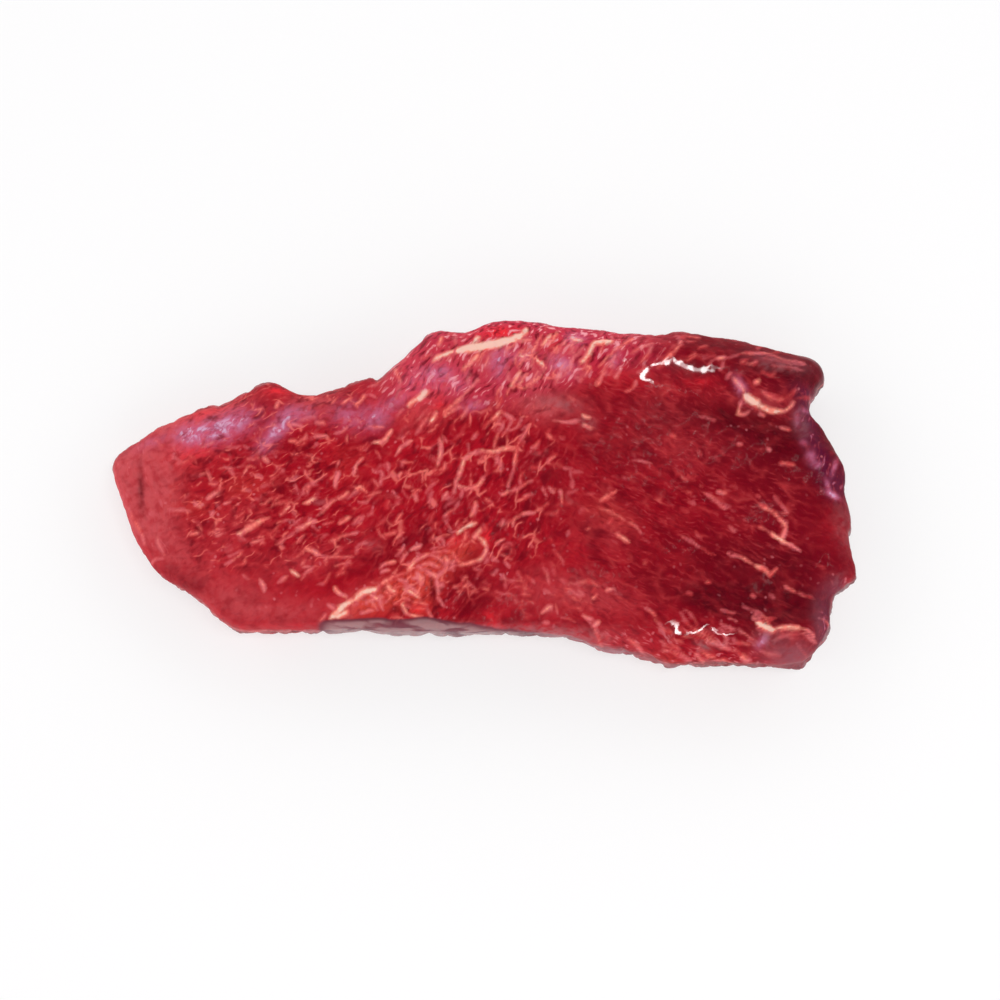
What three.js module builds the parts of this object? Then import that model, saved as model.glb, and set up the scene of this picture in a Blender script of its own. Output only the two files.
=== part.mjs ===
// A raw beef sirloin: one boneless, trimmed slab of muscle that lies on its flat cut face.
// Millimetres, +Z up, origin in the middle of the resting face.
// -X is the thin tip, +X the broad end, -Y the front edge and +Y the back edge.

import * as THREE from "three";

// Driving dimensions
const LENGTH = 263; // tip to broad end
const WIDTH = 127; // front edge to back edge, at the broad end
const THICKNESS = 26; // top face above the resting face, at the middle
const WAIST = 0.42; // height of the widest line, as a share of the thickness there
const TUCK = 6; // how far the wall draws in under the widest line

// How much lower the top face lies at the tip, and where on -X the fall begins and ends, in lengths
const TAPER = { drop: 6, from: 0.05, to: 0.5 };

// How far the cut faces round over into the wall. The knife left the tip's edge crisp,
// and the natural outside of the muscle is rolled over at the broad end.
const ROUNDING = {
  tip: 5,
  end: 13,
  frontAtTip: 4,
  frontAtEnd: 12,
  backAtTip: 13,
  backAtEnd: 12,
};
const FRONT_WIDENS = { from: 0.45, to: 0.75 }; // from tip to end, where the front rounding grows

// Fineness of the faceted surface
const COLUMNS = 84;
const ROWS = 33;
const WALL_RINGS = 5;
const COARSER_BELOW = 3; // the flat underside has cells this many times longer
const RIM_PACKING = { share: 0.72, reach: 0.05 }; // rows crowd towards the rim, where the face turns down

// The outline at its widest line, as four edges. Each runs corner to corner, on X and Y shares of
// the length and width, so that the two driving dimensions scale it.
const OUTLINE = {
  // tip corner to back corner: a low shoulder, a dip, then the step up to the thick back
  back: [
    [-0.5, 0.075], [-0.489, 0.122], [-0.447, 0.185], [-0.384, 0.248], [-0.348, 0.264], [-0.321, 0.295],
    [-0.283, 0.323], [-0.24, 0.287], [-0.205, 0.295], [-0.154, 0.335], [-0.139, 0.327], [-0.112, 0.382],
    [-0.067, 0.465], [-0.023, 0.465], [0.023, 0.5], [0.103, 0.484], [0.221, 0.457], [0.276, 0.465],
    [0.357, 0.433], [0.439, 0.39], [0.458, 0.37], [0.466, 0.343],
  ],
  // front corner of the tip to its back corner
  tip: [
    [-0.321, -0.39], [-0.35, -0.354], [-0.371, -0.311], [-0.401, -0.272], [-0.43, -0.236],
    [-0.449, -0.185], [-0.466, -0.122], [-0.481, -0.035], [-0.494, 0.035], [-0.5, 0.075],
  ],
  // front edge, nearly straight, then a belly and a small spur towards the broad end
  front: [
    [-0.321, -0.39], [-0.245, -0.394], [-0.165, -0.394], [-0.086, -0.402], [0.023, -0.402],
    [0.103, -0.413], [0.156, -0.445], [0.209, -0.465], [0.23, -0.484], [0.247, -0.496],
    [0.276, -0.488], [0.316, -0.492], [0.354, -0.496], [0.403, -0.5], [0.424, -0.496],
  ],
  // broad end, ragged: a spur, a step, shallow scallops, and the notch by the back corner
  end: [
    [0.424, -0.496], [0.443, -0.453], [0.462, -0.39], [0.466, -0.339], [0.471, -0.295],
    [0.498, -0.252], [0.5, -0.22], [0.492, -0.142], [0.496, -0.091], [0.489, -0.012],
    [0.489, 0.047], [0.479, 0.091], [0.462, 0.154], [0.447, 0.193], [0.443, 0.24],
    [0.452, 0.272], [0.466, 0.307], [0.466, 0.343],
  ],
};

// Swells and hollows of the top face: middle, half-lengths along and across, turn in degrees, height
const SWELLS = [
  { name: "crown", at: [-29, 6], half: [60, 34], turn: 0, height: 2 },
  { name: "basin", at: [74, -2], half: [46, 24], turn: -8, height: -5 },
  { name: "back roll", at: [74, 46], half: [50, 9], turn: -6, height: 2.6 },
  { name: "front roll", at: [82, -51], half: [42, 8], turn: -5, height: 2.4 },
  { name: "back corner fold", at: [102, 38], half: [14, 5], turn: -12, height: 2.4 },
  { name: "furrow under the fold", at: [95, 27], half: [26, 4.5], turn: -16, height: -2.6 },
  { name: "front corner fold", at: [103, -49], half: [14, 5], turn: -8, height: 1.6 },
  { name: "fat seam", at: [-25, -27], half: [30, 5], turn: 27, height: 1.8 },
  { name: "furrow along the seam", at: [-14, -18], half: [20, 2.6], turn: 30, height: -1.8 },
  { name: "shoulder", at: [-75, 35], half: [11, 8], turn: 0, height: 1.8 },
  { name: "groove at the tip", at: [-120, 6], half: [14, 2.6], turn: 100, height: -1.2 },
  { name: "back fat seam", at: [-1, 55], half: [18, 4], turn: 14, height: 1.4 },
];

// Muscle bundles raise long low waves across the face: wavelength, heading in degrees, height, phase
const BUNDLES = [
  { wavelength: 37, heading: 112, height: 0.5, phase: 0.4 },
  { wavelength: 24, heading: 58, height: 0.35, phase: 2.1 },
  { wavelength: 14, heading: 138, height: 0.18, phase: 4.0 },
];

// The waves wander: how far in phase, how much faster along Y than along X, and over how many wavelengths
const WANDER = { phase: 1.6, slant: 2, wavelengths: 1.3 };

// Crags of the wall: turns round the outline, depth, phase
const CRAGS = [
  { turns: 11, depth: 0.7, phase: 0.3 },
  { turns: 23, depth: 0.5, phase: 1.9 },
  { turns: 41, depth: 0.3, phase: 4.4 },
];

const radians = THREE.MathUtils.degToRad;
const mix = THREE.MathUtils.lerp;
const smoothstep = THREE.MathUtils.smoothstep;

function edgeCurve(shares) {
  return new THREE.SplineCurve(shares.map(([x, y]) => new THREE.Vector2(x * LENGTH, y * WIDTH)));
}

const edges = {
  back: edgeCurve(OUTLINE.back),
  tip: edgeCurve(OUTLINE.tip),
  front: edgeCurve(OUTLINE.front),
  end: edgeCurve(OUTLINE.end),
};

// The plan of the slab: u runs from tip to broad end, v from front to back, both 0 to 1.
// It blends the four edges across the inside, so every row of points follows the outline.
function plan(u, v) {
  const front = edges.front.getPointAt(u);
  const back = edges.back.getPointAt(u);
  const tip = edges.tip.getPointAt(v);
  const end = edges.end.getPointAt(v);
  const [frontTip, frontEnd] = [edges.front.getPointAt(0), edges.front.getPointAt(1)];
  const [backTip, backEnd] = [edges.back.getPointAt(0), edges.back.getPointAt(1)];
  const blend = (axis) =>
    mix(front[axis], back[axis], v) +
    mix(tip[axis], end[axis], u) -
    mix(mix(frontTip[axis], frontEnd[axis], u), mix(backTip[axis], backEnd[axis], u), v);
  return new THREE.Vector2(blend("x"), blend("y"));
}

// Front edge to back edge at u
function widthAt(u) {
  return edges.front.getPointAt(u).distanceTo(edges.back.getPointAt(u));
}

// A quarter round: 0 at the rim, 1 once the rounding is passed
function quarterRound(distance, radius) {
  const left = Math.max(0, 1 - distance / radius);
  return Math.sqrt(1 - left * left);
}

// How far the face has risen from the widest line to its full height
function rise(u, v) {
  const width = widthAt(u);
  const widened = smoothstep(u, FRONT_WIDENS.from, FRONT_WIDENS.to);
  const frontRounding = mix(ROUNDING.frontAtTip, ROUNDING.frontAtEnd, widened);
  const backRounding = mix(ROUNDING.backAtTip, ROUNDING.backAtEnd, u);
  return (
    quarterRound(u * LENGTH, ROUNDING.tip) *
    quarterRound((1 - u) * LENGTH, ROUNDING.end) *
    quarterRound(v * width, frontRounding) *
    quarterRound((1 - v) * width, backRounding)
  );
}

function swell({ at, half, turn, height }, point) {
  const [dx, dy] = [point.x - at[0], point.y - at[1]];
  const [c, s] = [Math.cos(radians(turn)), Math.sin(radians(turn))];
  const along = (dx * c + dy * s) / half[0];
  const across = (dy * c - dx * s) / half[1];
  return height * Math.exp(-along * along - across * across);
}

function bundle({ wavelength, heading, height, phase }, point) {
  const way = point.x * Math.cos(radians(heading)) + point.y * Math.sin(radians(heading));
  const slanted = point.x - WANDER.slant * point.y;
  const bend = WANDER.phase * Math.sin(slanted / (WANDER.wavelengths * wavelength));
  return height * Math.sin((2 * Math.PI * way) / wavelength + phase + bend);
}

function sum(list, term) {
  return list.reduce((total, item) => total + term(item), 0);
}

// Full height of the top face, before it rounds over
function crown(point) {
  const taper = TAPER.drop * smoothstep(-point.x, TAPER.from * LENGTH, TAPER.to * LENGTH);
  return THICKNESS - taper + sum(SWELLS, (s) => swell(s, point)) + sum(BUNDLES, (b) => bundle(b, point));
}

// Rows and columns crowd towards both rims
function packed(t) {
  const { share, reach } = RIM_PACKING;
  const tail = (distance) => share * reach * (1 - Math.exp(-distance / reach));
  return (t - tail(t) - (tail(1) - tail(1 - t))) / (1 - 2 * tail(1));
}

function topPoint(u, v) {
  const p = plan(u, v);
  const full = crown(p);
  const waist = WAIST * full;
  return [p.x, p.y, mix(waist, full, rise(u, v))];
}

// A point of the wall or of the underside, down from the widest line (0) to the resting face (1).
// The wall draws in as it goes down, and crags roughen it.
function lowerPoint(u, v, down) {
  const round = Math.atan2(v - 0.5, u - 0.5);
  const crag = sum(CRAGS, (c) => c.depth * (1 + Math.sin(c.turns * round + c.phase)));
  const inset = TUCK * (1 - Math.cos((down * Math.PI) / 2)) + crag * Math.sin(down * Math.PI);
  const [a, b] = [inset / LENGTH, inset / widthAt(u)];
  const p = plan(mix(a, 1 - a, u), mix(b, 1 - b, v));
  const waist = WAIST * crown(plan(u, v));
  return [p.x, p.y, waist * (1 - Math.sin((down * Math.PI) / 2))];
}

// Collects shared vertices and the triangles between them
class Skin {
  positions = [];
  triangles = [];

  vertex(position) {
    return this.positions.push(position) - 1;
  }

  quad(a, b, c, d) {
    this.triangles.push([a, b, c], [a, c, d]);
  }

  // A grid of vertices over the unit square, as grid[column][row]
  grid(columns, rows, place) {
    return Array.from({ length: columns + 1 }, (_, i) =>
      Array.from({ length: rows + 1 }, (_, j) => this.vertex(place(packed(i / columns), packed(j / rows)))),
    );
  }

  fill(grid, facingUp) {
    for (let i = 0; i + 1 < grid.length; i++) {
      for (let j = 0; j + 1 < grid[0].length; j++) {
        const corners = [grid[i][j], grid[i + 1][j], grid[i + 1][j + 1], grid[i][j + 1]];
        this.quad(...(facingUp ? corners : corners.reverse()));
      }
    }
  }

  // Joins two closed rings; the upper has as many steps as the lower, or a whole number of times more
  join(upper, lower) {
    const ratio = upper.length / lower.length;
    lower.forEach((vertex, k) => {
      const next = lower[(k + 1) % lower.length];
      const run = Array.from({ length: ratio + 1 }, (_, i) => upper[(k * ratio + i) % upper.length]);
      const turn = Math.floor(ratio / 2);
      for (let i = 0; i < ratio; i++) {
        this.triangles.push([run[i], i < turn ? vertex : next, run[i + 1]]);
      }
      this.triangles.push([run[turn], vertex, next]);
    });
  }

  geometry() {
    return new THREE.BufferGeometry()
      .setAttribute("position", new THREE.Float32BufferAttribute(this.positions.flat(), 3))
      .setIndex(this.triangles.flat());
  }
}

// The rim of a grid, anticlockwise from the front corner of the tip, as [column, row]
function rimOf(columns, rows) {
  const span = (count) => Array.from({ length: count }, (_, i) => i);
  return [
    ...span(columns).map((i) => [i, 0]),
    ...span(rows).map((j) => [columns, j]),
    ...span(columns).map((i) => [columns - i, rows]),
    ...span(rows).map((j) => [0, rows - j]),
  ];
}

function sirloinGeometry() {
  const skin = new Skin();
  const top = skin.grid(COLUMNS, ROWS, topPoint);
  skin.fill(top, true);

  const rim = rimOf(COLUMNS, ROWS);
  let ring = rim.map(([i, j]) => top[i][j]);
  for (let k = 1; k < WALL_RINGS; k++) {
    const next = rim.map(([i, j]) =>
      skin.vertex(lowerPoint(packed(i / COLUMNS), packed(j / ROWS), k / WALL_RINGS)),
    );
    skin.join(ring, next);
    ring = next;
  }

  const [columns, rows] = [COLUMNS / COARSER_BELOW, ROWS / COARSER_BELOW];
  const underside = skin.grid(columns, rows, (u, v) => lowerPoint(u, v, 1));
  skin.join(ring, rimOf(columns, rows).map(([i, j]) => underside[i][j]));
  skin.fill(underside, false);
  return skin.geometry();
}

const rawBeef = new THREE.MeshStandardMaterial({ color: 0xa11f28, roughness: 0.35, metalness: 0 });
const sirloin = new THREE.Mesh(sirloinGeometry(), rawBeef);
sirloin.name = "sirloin";

const model = new THREE.Group();
model.add(sirloin);

export default model;
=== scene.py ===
# A raw beef sirloin, trimmed and boneless, dressed over its imported CAD solid.
# One closed skin, worked out with numpy, carries the cut face, the walls and the flat underside.
# Numbers painted on its vertices say where fat, silverskin and dark muscle lie, and where shade and sheen are
# painted into the colour, and the material reads them.

import math

import bpy
import numpy as np
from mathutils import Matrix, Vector


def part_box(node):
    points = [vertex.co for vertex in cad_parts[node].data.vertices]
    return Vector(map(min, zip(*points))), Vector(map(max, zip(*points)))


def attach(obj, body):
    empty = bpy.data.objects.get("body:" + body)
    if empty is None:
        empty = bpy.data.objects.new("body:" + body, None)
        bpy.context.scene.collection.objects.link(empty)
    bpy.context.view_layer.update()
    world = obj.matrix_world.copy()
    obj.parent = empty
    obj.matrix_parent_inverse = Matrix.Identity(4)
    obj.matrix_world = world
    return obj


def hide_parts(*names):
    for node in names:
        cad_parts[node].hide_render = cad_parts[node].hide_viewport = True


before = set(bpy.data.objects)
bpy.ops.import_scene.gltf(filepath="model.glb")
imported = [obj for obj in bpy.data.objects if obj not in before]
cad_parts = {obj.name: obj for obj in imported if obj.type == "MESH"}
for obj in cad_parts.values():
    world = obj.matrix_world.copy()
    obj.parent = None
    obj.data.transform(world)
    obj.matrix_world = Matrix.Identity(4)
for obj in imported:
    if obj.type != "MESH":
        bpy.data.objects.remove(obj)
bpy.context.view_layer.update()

millimetre = 0.001
boxLow, boxHigh = (np.array(corner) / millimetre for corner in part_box("sirloin"))
print("frame loaded, the sirloin is", np.round(boxHigh - boxLow, 1), "mm")


# Small tools, all in millimetres


def smooth(value, start, stop):
    # 0 before start, 1 after stop, an S curve 3t^2 - 2t^3 between
    t = np.clip((value - start) / (stop - start), 0, 1)
    return t * t * (3 - 2 * t)


def mix(first, second, share):
    return first + (second - first) * share


def cloud(x, y, cell, seed):
    # value noise, -1 to 1: random heights on a square lattice of that cell, eased with 3t^2 - 2t^3 between
    heights = np.random.default_rng(seed).uniform(-1, 1, (128, 128))
    column, row = np.floor(x / cell).astype(int), np.floor(y / cell).astype(int)
    fx, fy = smooth(x / cell - column, 0, 1), smooth(y / cell - row, 0, 1)
    near = mix(heights[column % 128, row % 128], heights[(column + 1) % 128, row % 128], fx)
    far = mix(heights[column % 128, (row + 1) % 128], heights[(column + 1) % 128, (row + 1) % 128], fx)
    return mix(near, far, fy)


def blob(x, y, spot):
    # strength * exp(-(along/halfLength)^2 - (across/halfWidth)^2), in a frame turned by the spot's angle
    atX, atY, halfLength, halfWidth, strength, turn = (*spot, 0)[:6]
    c, s = math.cos(math.radians(turn)), math.sin(math.radians(turn))
    along = ((x - atX) * c + (y - atY) * s) / halfLength
    across = ((y - atY) * c - (x - atX) * s) / halfWidth
    return strength * np.exp(-along**2 - across**2)


# The form, the same as the solid's

form = {
    "thickness": 26,  # top face above the resting face, at the middle
    "tipTaper": 6,  # how much lower the top face lies at the tip
    "waist": 0.42,  # height of the widest line, as a share of the thickness there
    "tuck": 6,  # how far the wall draws in under the widest line
    "tipRounding": 5,
    "endRounding": 13,
    "frontRounding": (4, 12),  # at the tip and at the broad end
    "backRounding": (13, 12),
}

# The outline at its widest line, as shares of the length and width. Each edge runs corner to corner.
outline = {
    "back": [
        (-0.5, 0.075), (-0.489, 0.122), (-0.447, 0.185), (-0.384, 0.248), (-0.348, 0.264), (-0.321, 0.295),
        (-0.283, 0.323), (-0.24, 0.287), (-0.205, 0.295), (-0.154, 0.335), (-0.139, 0.327), (-0.112, 0.382),
        (-0.067, 0.465), (-0.023, 0.465), (0.023, 0.5), (0.103, 0.484), (0.221, 0.457), (0.276, 0.465),
        (0.357, 0.433), (0.439, 0.39), (0.458, 0.37), (0.466, 0.343),
    ],
    "tip": [
        (-0.321, -0.39), (-0.35, -0.354), (-0.371, -0.311), (-0.401, -0.272), (-0.43, -0.236),
        (-0.449, -0.185), (-0.466, -0.122), (-0.481, -0.035), (-0.494, 0.035), (-0.5, 0.075),
    ],
    "front": [
        (-0.321, -0.39), (-0.245, -0.394), (-0.165, -0.394), (-0.086, -0.402), (0.023, -0.402),
        (0.103, -0.413), (0.156, -0.445), (0.209, -0.465), (0.23, -0.484), (0.247, -0.496),
        (0.276, -0.488), (0.316, -0.492), (0.354, -0.496), (0.403, -0.5), (0.424, -0.496),
    ],
    "end": [
        (0.424, -0.496), (0.443, -0.453), (0.462, -0.39), (0.466, -0.339), (0.471, -0.295),
        (0.498, -0.252), (0.5, -0.22), (0.492, -0.142), (0.496, -0.091), (0.489, -0.012),
        (0.489, 0.047), (0.479, 0.091), (0.462, 0.154), (0.447, 0.193), (0.443, 0.24),
        (0.452, 0.272), (0.466, 0.307), (0.466, 0.343),
    ],
}

# Swells and hollows of the top face: x, y, half-length, half-width, height, and turn in degrees if any
swells = [
    (-29, 6, 60, 34, 2),  # crown
    (74, -2, 46, 24, -5, -8),  # basin
    (74, 46, 50, 9, 2.6, -6),  # back roll
    (82, -51, 42, 8, 2.4, -5),  # front roll
    (102, 38, 14, 5, 2.4, -12),  # back corner fold
    (95, 27, 26, 4.5, -2.6, -16),  # furrow under the fold
    (103, -49, 14, 5, 1.6, -8),  # front corner fold
    (-25, -27, 30, 5, 1.8, 27),  # fat seam
    (-14, -18, 20, 2.6, -1.8, 30),  # furrow along the seam
    (-75, 35, 11, 8, 1.8),  # shoulder
    (-120, 6, 14, 2.6, -1.2, 100),  # groove at the tip
    (-1, 55, 18, 4, 1.4, 14),  # back fat seam
]

# Muscle bundles, as long low waves: wavelength, heading in degrees, height, phase
bundles = [(37, 112, 0.5, 0.4), (24, 58, 0.35, 2.1), (14, 138, 0.18, 4.0)]

# Crags of the wall: turns round the outline, depth, phase
crags = [(11, 0.7, 0.3), (23, 0.5, 1.9), (41, 0.3, 4.4)]


def edgeCurve(shares):
    # uniform Catmull-Rom spline through the points, looked up by share of its arc length
    points = np.array(shares) * (boxHigh - boxLow)[:2]
    count = len(points)

    def at(t):
        t = np.clip(t, 0, 1) * (count - 1)
        k = np.minimum(np.floor(t).astype(int), count - 2)
        w = (t - k)[..., None]
        p0, p1, p2, p3 = (points[np.clip(k + step, 0, count - 1)] for step in (-1, 0, 1, 2))
        v0, v1 = (p2 - p0) / 2, (p3 - p1) / 2
        return (2 * p1 - 2 * p2 + v0 + v1) * w**3 + (3 * p2 - 3 * p1 - 2 * v0 - v1) * w**2 + v0 * w + p1

    steps = np.linspace(0, 1, 801)
    run = np.r_[0, np.cumsum(np.linalg.norm(np.diff(at(steps), axis=0), axis=1))]
    return lambda share: at(np.interp(share * run[-1], run, steps))


edges = {name: edgeCurve(shares) for name, shares in outline.items()}


def plan(u, v):
    # Coons patch: front/back edges mixed by v, plus tip/end edges mixed by u, less the corners' bilinear mix
    front, back, tip, end = edges["front"](u), edges["back"](u), edges["tip"](v), edges["end"](v)
    u, v = u[..., None], v[..., None]
    frontRow, backRow = (mix(*edges[name](np.array([0, 1])), u) for name in ("front", "back"))
    corners = mix(frontRow, backRow, v)
    return mix(front, back, v) + mix(tip, end, u) - corners


def widthAt(u):
    return np.linalg.norm(edges["front"](u) - edges["back"](u), axis=-1)


def quarterRound(distance, radius):
    # sqrt(1 - (1 - distance/radius)^2): 0 at the rim, 1 once the rounding is passed
    return np.sqrt(1 - np.clip(1 - distance / radius, 0, 1) ** 2)


def rise(u, v):
    # product of the four edges' quarter rounds
    width, length = widthAt(u), (boxHigh - boxLow)[0]
    front = mix(*form["frontRounding"], smooth(u, 0.45, 0.75))
    back = mix(*form["backRounding"], u)
    ends = quarterRound(u * length, form["tipRounding"]) * quarterRound((1 - u) * length, form["endRounding"])
    return ends * quarterRound(v * width, front) * quarterRound((1 - v) * width, back)


def crown(x, y):
    # full height of the top face: thickness, less the tip's taper, plus swells and muscle bundles
    length = (boxHigh - boxLow)[0]
    height = form["thickness"] - form["tipTaper"] * smooth(-x, 0.05 * length, 0.5 * length)
    height = height + sum(blob(x, y, spot) for spot in swells)
    for wavelength, heading, tall, phase in bundles:
        way = x * math.cos(math.radians(heading)) + y * math.sin(math.radians(heading))
        bend = 1.6 * np.sin((x - 2 * y) / (1.3 * wavelength))
        height = height + tall * np.sin(2 * np.pi * way / wavelength + phase + bend)
    return height


# The skin's grid

skin = {
    "columns": 408,  # tip to broad end, a multiple of 6
    "rows": 180,  # front to back, a multiple of 6
    "rings": 16,  # down the wall
    "coarserBelow": 6,  # the flat underside has cells this many times longer
    "rimShare": 0.5,  # rows crowd towards the rim, where the face turns down
    "rimReach": 0.05,
}


def packed(t):
    # t - share*reach*(1 - exp(-distance/reach)) at both rims, stretched back to 0..1
    share, reach = skin["rimShare"], skin["rimReach"]
    tail = lambda distance: share * reach * (1 - np.exp(-distance / reach))
    return (t - tail(t) - (tail(1) - tail(1 - t))) / (1 - 2 * tail(1))


def gridOf(columns, rows):
    along, across = (packed(np.linspace(0, 1, count + 1)) for count in (columns, rows))
    return np.meshgrid(along, across, indexing="ij")


def cellsOf(number):
    # the corners of each cell in a grid of vertex numbers, anticlockwise seen from above
    return np.stack([number[:-1, :-1], number[1:, :-1], number[1:, 1:], number[:-1, 1:]], -1).reshape(-1, 4)


def rimOf(columns, rows):
    # columns and rows of the rim's vertices, anticlockwise from the front corner of the tip
    along, up = np.arange(columns), np.arange(rows)
    i = np.r_[along, np.full(rows, columns), columns - along, np.zeros(rows, int)]
    j = np.r_[np.zeros(columns, int), up, np.full(columns, rows), rows - up]
    return i, j


def lower(u, v, down):
    # the wall from the widest line (down 0) to the resting face (down 1): a quarter ellipse with crags
    angle = np.arctan2(v - 0.5, u - 0.5)
    crag = sum(depth * (1 + np.sin(turns * angle + phase)) for turns, depth, phase in crags)
    inset = form["tuck"] * (1 - np.cos(down * np.pi / 2)) + crag * np.sin(down * np.pi)
    a, b = inset / (boxHigh - boxLow)[0], inset / widthAt(u)
    place = plan(mix(a, 1 - a, u), mix(b, 1 - b, v))
    here = plan(u, v)
    waist = form["waist"] * crown(here[..., 0], here[..., 1])
    return np.concatenate([place, (waist * (1 - np.sin(down * np.pi / 2)))[..., None]], -1)


def buildSkin():
    columns, rows = skin["columns"], skin["rows"]
    u, v = gridOf(columns, rows)
    place = plan(u, v)
    x, y = place[..., 0], place[..., 1]
    full = crown(x, y)
    z = mix(form["waist"] * full, full, rise(u, v))
    top = np.dstack([x, y, z])
    number = np.arange(top[..., 0].size).reshape(u.shape)
    points = [top.reshape(-1, 3)]
    wall = [smooth(1 - rise(u, v), 0.3, 0.8).ravel()]
    quads = [cellsOf(number)]
    total = number.size

    i, j = rimOf(columns, rows)
    ring = number[i, j]
    for k in range(1, skin["rings"]):
        below = lower(u[i, j], v[i, j], k / skin["rings"])
        points.append(below.reshape(-1, 3))
        wall.append(np.ones(len(i)))
        nextRing = total + np.arange(len(i))
        total += len(i)
        quads.append(np.stack([ring, nextRing, np.roll(nextRing, -1), np.roll(ring, -1)], -1))
        ring = nextRing

    step = skin["coarserBelow"]
    uu, vv = gridOf(columns // step, rows // step)
    base = lower(uu, vv, 1.0)
    base[..., 2] = 0
    under = total + np.arange(uu.size).reshape(uu.shape)
    points.append(base.reshape(-1, 3))
    wall.append(np.zeros(uu.size))
    quads.append(cellsOf(under)[:, [0, 3, 2, 1]])

    # the last wall ring meets the coarser rim of the underside in fans
    ui, uj = rimOf(columns // step, rows // step)
    coarse = under[ui, uj]
    fans = []
    for k in range(step):
        target = coarse if k < step // 2 else np.roll(coarse, -1)
        fans.append(np.stack([ring[k::step], target, np.roll(ring, -1 - k)[::step]], -1))
    fans.append(np.stack([ring[step // 2 :: step], coarse, np.roll(coarse, -1)], -1))
    faceCount = number.size
    return np.vstack(points), np.vstack(quads), np.vstack(fans), np.concatenate(wall), faceCount


points, quads, fans, wall, faceCount = buildSkin()
print("skin:", len(points), "vertices,", 2 * len(quads) + len(fans), "triangles")


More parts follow.
